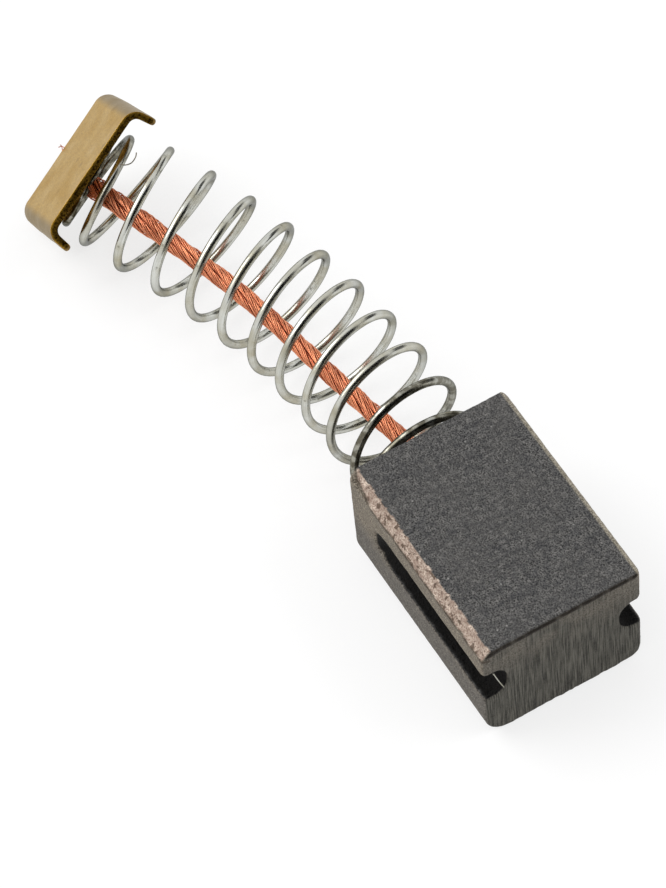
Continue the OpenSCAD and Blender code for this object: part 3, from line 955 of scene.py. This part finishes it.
def bundle(name, line, seed, ring=8):
    """A ring of fine wires round one inner wire, each with its own tone and with painted shade in the
    valleys.
    """
    rng = random.Random(seed)
    bm = bmesh.new()
    for n in range(ring + 1):
        start = 2 * math.pi * n / ring + rng.uniform(-0.2, 0.2)
        points, outs = winding(line, start, FINE_LAY, FINE_RING_R * (n < ring) * rng.uniform(0.94, 1.06))
        drift, own = rng.uniform(0, 50), rng.uniform(-0.45, 0.45)
        tones = []
        for i, out in enumerate(outs):
            place = passed[i] * 0.8 + drift
            sway = Vector([noise.noise((place, n, shift)) for shift in (0, 7, 13)])
            loose = LOOSE + LOOSE_AT_CAP * clamp(shunt_follow[i] * 6 - 4.6)
            from_middle = points[i] - shunt_line[i]
            # Painted shade: wires down in the valleys between the bundles get a darker tone.
            depth = clamp((LAY_R + 0.05 - from_middle.length) / 0.1)
            tones.append(clamp(own + 0.25 * sway.x + 0.6 * depth))
            fan = 1 + FAN * clamp(shunt_follow[i] * 5 - 3.5)
            points[i] = shunt_line[i] + from_middle * fan + SPRING_END + sway * loose
        sweep(bm, points, outs, FINE_R, 6, shunt_follow, tones)
    return piece_from(bm, name)


# %% [markdown]
# ### Copper
# Bare copper is bright orange where it is rubbed and red-brown where it has tarnished. Each wire carries
# its own tone, because each has tarnished on its own, and painted shade darkens the tone down in the
# valleys between the bundles. Streaks run along the wires in their own lengthwise coordinates, so they
# follow every twist.

# %% Copper
copper, build, shader, place = material("copper", metallic=0.7)
lane = build.add("ShaderNodeUVMap", uv_map="wire").outputs[0]
tarnish = build.group(mottle, {"Place": place, "Per mm": 1.3, "Detail": 4.0, "Low": 0.35, "High": 0.7})
streak = build.group(fine_lines, {"Place": lane, "Squeeze": (1.8, 3.0, 1.0), "Low": 0.4, "High": 0.65})
# The dark end of the tone is both tarnish and the painted shade of the valleys.
tint = build.mix(attribute(build, "tone").outputs["Fac"], colour(1.0, 0.39, 0.2), colour(0.28, 0.035, 0.012))
tint = build.over(tint, tarnish, 0.25, colour(0.6, 0.17, 0.08))
tint = build.over(tint, streak, 0.35, colour(0.3, 0.06, 0.025))
build.feed(tint, shader["Base Color"])
build.feed(build.spread(streak, 0, 1, 0.2, 0.42), shader["Roughness"])

# %% Core and six strands
core_strand = bundle("shunt_core_wires", shunt_line, 70)
finish_piece(core_strand, copper, "copper", None, "shunt_core")
follow_the_cap(core_strand)
for n in range(6):
    strand_line, _ = winding(shunt_line, math.radians(60 * n), LAY_LENGTH, LAY_R)
    strand = bundle("strand_wires_" + str(n + 1), strand_line, 71 + n)
    finish_piece(strand, copper, "copper", None, "shunt_strand_" + str(n + 1))
    follow_the_cap(strand)

# %% [markdown]
# ## The cap
# The cap is one strip of brass, sheared to width and folded twice. Shearing leaves a burr along one edge
# and a torn band on the cut, painted dark as torn metal and painted shade, and the ends of the legs are
# clipped round. The strip is laid out slice by slice across its width, so that each slice can end where
# the rounded tip ends. A solid extrude would give square tips.


# %% Sections of the strip
TIP_R, TIP_ROUND, SHEAR_ROUND, BEND_STEPS, WEB_STEPS = 0.22, 0.13, 0.035, 10, 26


def strip_section(z):
    """Outer and inner points of the folded strip at a height across its width, from leg tip to leg tip."""
    fold = math.pi / 2 - LEG_SPLAY
    bend_x = CAP_L / 2 - BEND_R * math.tan(fold / 2)
    corner = max(abs(z) - (CAP_W / 2 - TIP_R), 0)
    clipped = TIP_R - math.sqrt(max(TIP_R ** 2 - corner ** 2, 0))
    straight = LEG_L - BEND_R * math.tan(fold / 2)
    along = Vector((math.sin(LEG_SPLAY), -math.cos(LEG_SPLAY)))
    outer, inner = [], []
    side = Vector((math.cos(LEG_SPLAY), math.sin(LEG_SPLAY)))
    length = straight - clipped
    for passed in (0, 0.02, 0.06, TIP_ROUND, (length + TIP_ROUND) / 2, length - 0.03):
        thinner = TIP_ROUND - math.sqrt(TIP_ROUND ** 2 - max(TIP_ROUND - passed, 0) ** 2)
        middle = Vector((bend_x, -BEND_R)) + along * (length - passed)
        outer.append(middle + side * (BEND_R - thinner))
        inner.append(middle + side * (BEND_R - CAP_T + thinner))
    for step in range(BEND_STEPS):
        angle = LEG_SPLAY + fold * step / BEND_STEPS
        side = Vector((math.cos(angle), math.sin(angle)))
        outer.append(Vector((bend_x, -BEND_R)) + side * BEND_R)
        inner.append(Vector((bend_x, -BEND_R)) + side * (BEND_R - CAP_T))
    for step in range(WEB_STEPS // 2 + 1):
        x = bend_x * (1 - 2 * step / WEB_STEPS)
        outer.append(Vector((x, 0)))
        inner.append(Vector((x, -CAP_T)))
    return outer, inner


def whole_section(z):
    """Both halves of the strip joined, as points in the cap's own frame."""
    outer, inner = strip_section(z)
    joined = []
    for half in (outer, inner):
        mirrored = [Vector((-p.x, p.y)) for p in reversed(half[:-1])]
        joined.append([Vector((p.x, p.y, z)) for p in half + mirrored])
    return joined


# %% Cap strip
zs = [-CAP_W / 2 + TIP_R * (1 - math.cos(math.pi / 2 * i / 6)) for i in range(6)]
zs += [CAP_W / 2 * (i / 8 - 1) * (1 - TIP_R / (CAP_W / 2)) for i in range(8)] + [0.0]
zs = zs + [-z for z in reversed(zs[:-1])]
cap_bm = bmesh.new()
skins = []
for z in zs:
    outer, inner = whole_section(z)
    skins.append(([cap_bm.verts.new(p) for p in outer], [cap_bm.verts.new(p) for p in inner]))
count = len(skins[0][0])
for (outer_a, inner_a), (outer_b, inner_b) in zip(skins, skins[1:]):
    for k in range(count - 1):
        cap_bm.faces.new((outer_a[k], outer_a[k + 1], outer_b[k + 1], outer_b[k]))
        cap_bm.faces.new((inner_a[k + 1], inner_a[k], inner_b[k], inner_b[k + 1]))
    cap_bm.faces.new((inner_a[0], outer_a[0], outer_b[0], inner_b[0]))
    cap_bm.faces.new((outer_a[-1], inner_a[-1], inner_b[-1], outer_b[-1]))
for outer, inner in (skins[0], skins[-1]):
    for k in range(count - 1):
        cap_bm.faces.new((outer[k], inner[k], inner[k + 1], outer[k + 1]))
bmesh.ops.recalc_face_normals(cap_bm, faces=cap_bm.faces)
rims = [e for e in cap_bm.edges if len(e.link_faces) == 2 and e.calc_face_angle(0) > math.radians(60)]
bmesh.ops.bevel(cap_bm, geom=rims, offset=SHEAR_ROUND, segments=2, profile=0.5, affect="EDGES",
                offset_type="OFFSET", clamp_overlap=True, material=-1)
print("cap strip has", len(cap_bm.faces), "faces")

# %% [markdown]
# ### Zones of the cap
# The torn edge is dark, partly torn metal and partly painted shade; the bends are painted greyer, as a
# painted reflection; the inside is still bright, and a thin golden line runs where the edge meets the
# face. These four shares are written on the points before the strip is turned to its place, while its
# own X, Y and Z are still easy to read.


# %% Write the zones and place the cap
def strip_zone(co):
    """Cut edge, bend, inside and burr shares at a point in the cap's own frame."""
    edge = max(clamp((abs(co.z) - (CAP_W / 2 - 0.02)) / 0.02), clamp((-co.y - LEG_L + 0.12) / 0.05))
    fold = math.pi / 2 - LEG_SPLAY
    bend_x = CAP_L / 2 - BEND_R * math.tan(fold / 2)
    from_bend = Vector((abs(co.x) - bend_x, co.y + BEND_R))
    depth = BEND_R - from_bend.length if abs(co.x) > bend_x and co.y > -BEND_R else -co.y
    if co.y <= -BEND_R and abs(co.x) > bend_x:
        side = Vector((math.cos(LEG_SPLAY), math.sin(LEG_SPLAY)))
        depth = BEND_R - from_bend.dot(side)
    inside = clamp((depth - CAP_T * 0.8) / (CAP_T * 0.2))
    bend = clamp((abs(co.x) - bend_x) / 0.3)
    burr = edge * clamp(1 - depth / CAP_T)
    return (edge, bend, inside, burr)


cap_zones = cap_bm.verts.layers.float_color.new("zone")
for v in cap_bm.verts:
    v[cap_zones] = strip_zone(v.co)
    dent = 0.012 * noise.noise(v.co * 0.9) + 0.004 * noise.noise(v.co * 3.1)
    v.co.y += dent
    v.co.x += dent * (1 if v.co.x > 0 else -1)
bmesh.ops.transform(cap_bm, matrix=in_cap_frame, verts=cap_bm.verts)
bmesh.ops.translate(cap_bm, vec=(0, 0, max(0, -min(v.co.z for v in cap_bm.verts))), verts=cap_bm.verts)
cap_strip = piece_from(cap_bm, "cap_strip")

# %% [markdown]
# ### Brass
# Rolled brass that has been handled is dull gold with darker patches. The bends are painted greyer, as a
# painted reflection of the darker room on the curve. The sheared edge is dark, partly torn and partly
# painted shade, and its burr is the only bright gold. The zones carry these borders, because a pattern in
# space would cross from the face to the edge.

# %% Brass
brass, build, shader, place = material("brass_strip", metallic=1.0)
zone = attribute(build, "zone")
split = build.add("ShaderNodeSeparateColor", {0: zone.outputs["Color"]}).outputs
cut_zone, bend_zone, inside_zone, burr_zone = split[0], split[1], split[2], zone.outputs["Alpha"]
patchy = build.group(mottle, {"Place": place, "Per mm": 0.9, "Detail": 4.0, "Low": 0.3, "High": 0.7})
fine = build.group(mottle, {"Place": place, "Per mm": 12.0, "Detail": 3.0, "Low": 0.36, "High": 0.64})
stains = build.group(specks, {"Place": place, "Per mm": 1.6, "Size": 0.3, "Share": 0.2})
skin = build.mix(patchy, colour(0.52, 0.345, 0.095), colour(0.44, 0.28, 0.075))
skin = build.over(skin, fine, 0.5, colour(0.27, 0.165, 0.045))
skin = build.over(skin, stains, 0.5, colour(0.18, 0.11, 0.03))
# Painted reflection: the bends are painted greyer and darker.
skin = build.over(skin, bend_zone, 0.75, colour(0.2, 0.155, 0.085))
skin = build.mix(inside_zone, skin, colour(0.45, 0.25, 0.05))
# The cut edge: partly torn metal, partly painted shade.
torn_and_shaded = build.mix(fine, colour(0.07, 0.032, 0.004), colour(0.38, 0.22, 0.03))
skin = build.mix(cut_zone, skin, torn_and_shaded)
burr = build.spread(build.math("ADD", burr_zone, build.math("MULTIPLY", fine, 0.2)), 0.72, 1.0)
skin = build.mix(burr, skin, build.mix(fine, colour(0.95, 0.55, 0.07), colour(0.5, 0.28, 0.04)))
build.feed(skin, shader["Base Color"])
build.feed(build.spread(patchy, 0, 1, 0.38, 0.55), shader["Roughness"])
build.feed(bump(build, fine, 0.3, 0.01), shader["Normal"])
finish_piece(cap_strip, brass, "brass_strip", "cap", "terminal_cap")

# %% [markdown]
# ## Stray wires
# Winding and welding always leave a few stray ends. A steel hair curls out beside the closed turns, two
# short copper ones cling to the back of the cap, and a bright steel splinter lies across the mouth of the
# left groove. They are thin swept bars through a few points. So small a thing is still seen, because it
# is the only crooked line on the part.


# %% Stray wires and a splinter
def stray(name, points, radius, tone, finish, slot, body):
    """A thin bar of one tone through a few points, which rides a body."""
    line = smooth_line(points)
    bm = bmesh.new()
    outs = [square_to(Vector((0.3, 0.2, 1)), heading(line, i)) for i in range(len(line))]
    sweep(bm, line, outs, radius, 6, [0.0] * len(line), [tone] * len(line))
    piece = finish_piece(piece_from(bm, name), finish, slot, body)
    piece.data.attributes.remove(piece.data.attributes["follow"])


stray("stray_wire_1", [(-23.5, -3.55, 4.62), (-23.25, -3.3, 4.6), (-23.18, -3.0, 4.6), (-23.32, -2.72, 4.62),
                       (-23.52, -2.57, 4.6)], 0.026, 0.3, steel, "spring_steel", "cap")
for n, (foot_x, reach_x) in enumerate(((0.2, -0.12), (0.05, 0.16))):
    foot = Vector((foot_x, -0.02, -CAP_W / 2))
    tip = foot + Vector((reach_x, 0.2, -0.1))
    bend = (foot + tip) / 2 + Vector((0.05, 0, -0.03))
    hair = [in_cap_frame @ p for p in (foot, bend, tip)]
    stray("stray_wire_" + str(n + 2), hair, 0.018, 0.7, copper, "copper", "cap")
stray("groove_splinter", [(4.84, -3.02, 4.06), (4.86, -2.8, 3.3), (4.87, -2.56, 2.6)], 0.03, 0.0, steel,
      "spring_steel", "brush")

# %% [markdown]
# ## Copper powder and weld
# The tamped powder is matt and dark, with a few bright grains. The weld is a smooth drop, browned by its
# own heat. Both keep the shape of their solids, so only a material is put on them.

# %% Materials for the plug and the weld
powder, build, shader, place = material("copper_powder", metallic=0.4, roughness=0.7)
grains = build.group(mottle, {"Place": place, "Per mm": 14.0, "Detail": 2.0, "Low": 0.4, "High": 0.6})
glints = build.group(specks, {"Place": place, "Per mm": 9.0, "Size": 0.3, "Share": 0.2})
tint = build.mix(grains, colour(0.09, 0.035, 0.02), colour(0.3, 0.12, 0.06))
build.feed(build.mix(glints, tint, colour(0.8, 0.38, 0.2)), shader["Base Color"])
build.feed(bump(build, grains, 0.6, 0.03), shader["Normal"])

weld, build, shader, place = material("weld_copper", metallic=1.0, roughness=0.38)
scorch = build.group(mottle, {"Place": place, "Per mm": 2.5, "Detail": 3.0, "Low": 0.3, "High": 0.7})
build.feed(build.mix(scorch, colour(0.5, 0.22, 0.11), colour(0.16, 0.07, 0.04)), shader["Base Color"])

for node, finish in (("tamping_plug", powder), ("weld_nugget", weld)):
    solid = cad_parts[node]
    solid.data.materials.clear()
    solid.data.materials.append(finish)
    print(node, "is painted with", finish.name)

# %% [markdown]
# ## Sizes before and after
# The dressed brush is meant to fill the same room as its solids. Both boxes are printed.

# %% Write the sizes
dressed_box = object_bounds()
for label, box in (("solids", cad_box), ("dressed", dressed_box)):
    print(label, [[round(x / MM, 2) for x in corner] for corner in box])
